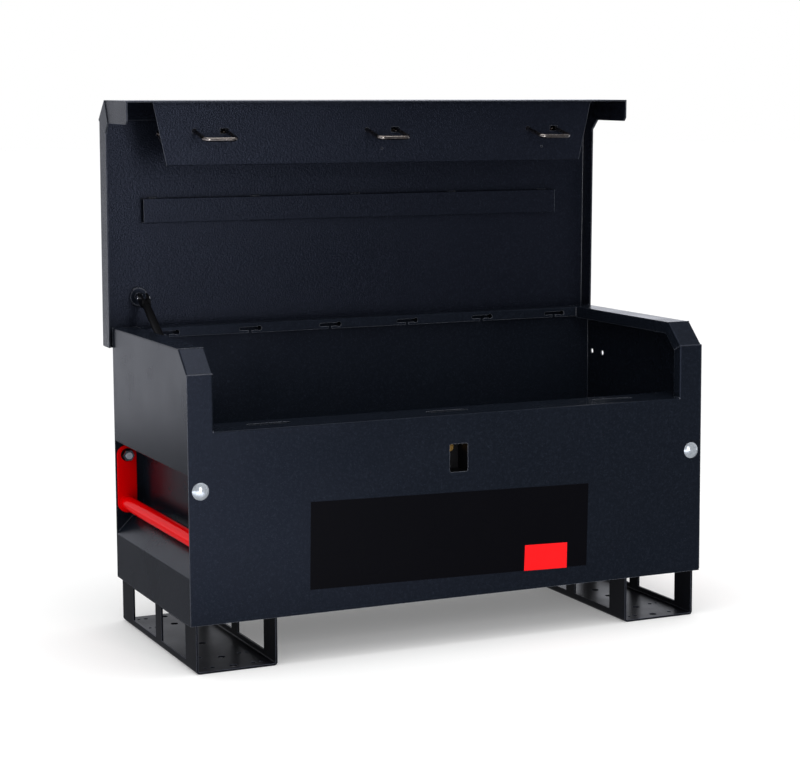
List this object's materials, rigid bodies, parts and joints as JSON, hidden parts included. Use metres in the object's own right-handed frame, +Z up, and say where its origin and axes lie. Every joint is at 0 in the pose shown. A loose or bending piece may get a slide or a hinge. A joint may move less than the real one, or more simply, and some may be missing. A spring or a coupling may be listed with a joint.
{
  "type": "jobsite storage box",
  "caption": "Open-topped steel tool chest with a hinged lid, gas strut, side wells with swing handles, fork-lift skids and a key lock whose claws catch staples in the lid.",
  "frame": {"origin": "under the middle of the open box's outer limits, at floor level", "axes": "+X to the right as seen from the front, +Y to the back, +Z up; the box faces -Y"},
  "size_m": [1.295, 0.6, 1.2293],
  "materials": {
    "navy_coat": "satin",
    "red_coat": "gloss",
    "zinc": "satin",
    "dark_washer": "satin",
    "raw_steel": "satin",
    "brass": "satin",
    "black_coat": "satin",
    "rod_chrome": "polished"
  },
  "bodies": {
    "box": {"front_panel": "navy_coat", "back_panel": "navy_coat", "left_side_panel": "navy_coat", "right_side_panel": "navy_coat", "left_well_panel": "navy_coat", "right_well_panel": "navy_coat", "floor_panel": "navy_coat", "lock_tray": "navy_coat", "left_skid": "navy_coat", "right_skid": "navy_coat", "lock_pocket": "navy_coat", "lock_barrel": "brass", "claw_studs": "raw_steel", "link_guides": "raw_steel", "left_hinge_body_leaf": "navy_coat", "centre_hinge_body_leaf": "navy_coat", "right_hinge_body_leaf": "navy_coat", "hinge_pins": "zinc", "pivot_bolts": "zinc", "pivot_washers": "dark_washer", "pivot_nuts": "zinc", "strut_wall_bracket": "navy_coat"},
    "lid": {"lid_shell": "navy_coat", "left_corner_tab": "navy_coat", "right_corner_tab": "navy_coat", "staple_panel": "navy_coat", "left_staple": "raw_steel", "centre_staple": "raw_steel", "right_staple": "raw_steel", "staple_rod": "raw_steel", "rod_washers": "raw_steel", "rod_brackets": "raw_steel", "lid_stiffener": "navy_coat", "left_hinge_lid_leaf": "navy_coat", "centre_hinge_lid_leaf": "navy_coat", "right_hinge_lid_leaf": "navy_coat", "strut_lid_bracket": "navy_coat"},
    "left_handle": {"left_handle_front_arm": "red_coat", "left_handle_rear_arm": "red_coat", "left_handle_bar": "red_coat"},
    "right_handle": {"right_handle_front_arm": "red_coat", "right_handle_rear_arm": "red_coat", "right_handle_bar": "red_coat"},
    "strut_cylinder": {"strut_clevis": "black_coat", "strut_pin": "raw_steel", "strut_tube": "black_coat"},
    "strut_piston": {"strut_rod": "rod_chrome", "strut_eye": "black_coat", "strut_foot_pin": "raw_steel"},
    "key": {"key_plug": "brass", "key_cam": "raw_steel"},
    "link": {"lock_link": "raw_steel"},
    "left_hook": {"left_claw": "raw_steel"},
    "centre_hook": {"centre_claw": "raw_steel"},
    "right_hook": {"right_claw": "raw_steel"}
  },
  "joints": [
    {"name": "lid_hinge", "type": "hinge", "parent": "box", "child": "lid", "pos_m": [0, 0.2619, 0.6685], "axis": [1, 0, 0], "range_deg": [0, 89]},
    {"name": "left_handle_swing", "type": "hinge", "parent": "box", "child": "left_handle", "pos_m": [-0.6111, -0.0211, 0.4], "axis": [0, 1, 0], "range_deg": [-6, 90]},
    {"name": "right_handle_swing", "type": "hinge", "parent": "box", "child": "right_handle", "pos_m": [0.6111, -0.0211, 0.4], "axis": [0, -1, 0], "range_deg": [-6, 90]},
    {"name": "strut_swing", "type": "hinge", "parent": "lid", "child": "strut_cylinder", "pos_m": [-0.5595, 0.25388, 0.76697], "axis": [1, 0, 0], "range_deg": [-99.47, 0]},
    {"name": "strut_slide", "type": "slide", "parent": "strut_cylinder", "child": "strut_piston", "axis": [0, 0.8446, 0.5354], "range_m": [0, 0.12895]},
    {"name": "key_turn", "type": "hinge", "parent": "box", "child": "key", "pos_m": [0, -0.2411, 0.445], "axis": [0, 1, 0], "range_deg": [0, 70.01]},
    {"name": "link_slide", "type": "slide", "parent": "box", "child": "link", "axis": [1, 0, 0], "range_m": [0, 0.012]},
    {"name": "left_claw_turn", "type": "hinge", "parent": "box", "child": "left_hook", "pos_m": [-0.4515, -0.2011, 0.477], "axis": [0, 0, 1], "range_deg": [-60.01, 0]},
    {"name": "centre_claw_turn", "type": "hinge", "parent": "box", "child": "centre_hook", "pos_m": [-0.02, -0.2011, 0.477], "axis": [0, 0, 1], "range_deg": [-60.01, 0]},
    {"name": "right_claw_turn", "type": "hinge", "parent": "box", "child": "right_hook", "pos_m": [0.4115, -0.2011, 0.477], "axis": [0, 0, 1], "range_deg": [-60.01, 0]}
  ],
  "couplings": [
    {"joint": "strut_swing", "follows": "lid_hinge", "ratio": -1.1175},
    {"joint": "strut_slide", "follows": "lid_hinge", "m_per_rad": 0.083006},
    {"joint": "key_turn", "follows": "link_slide", "rad_per_m": 101.81},
    {"joint": "left_claw_turn", "follows": "link_slide", "rad_per_m": -87.266},
    {"joint": "centre_claw_turn", "follows": "link_slide", "rad_per_m": -87.266},
    {"joint": "right_claw_turn", "follows": "link_slide", "rad_per_m": -87.266}
  ]
}
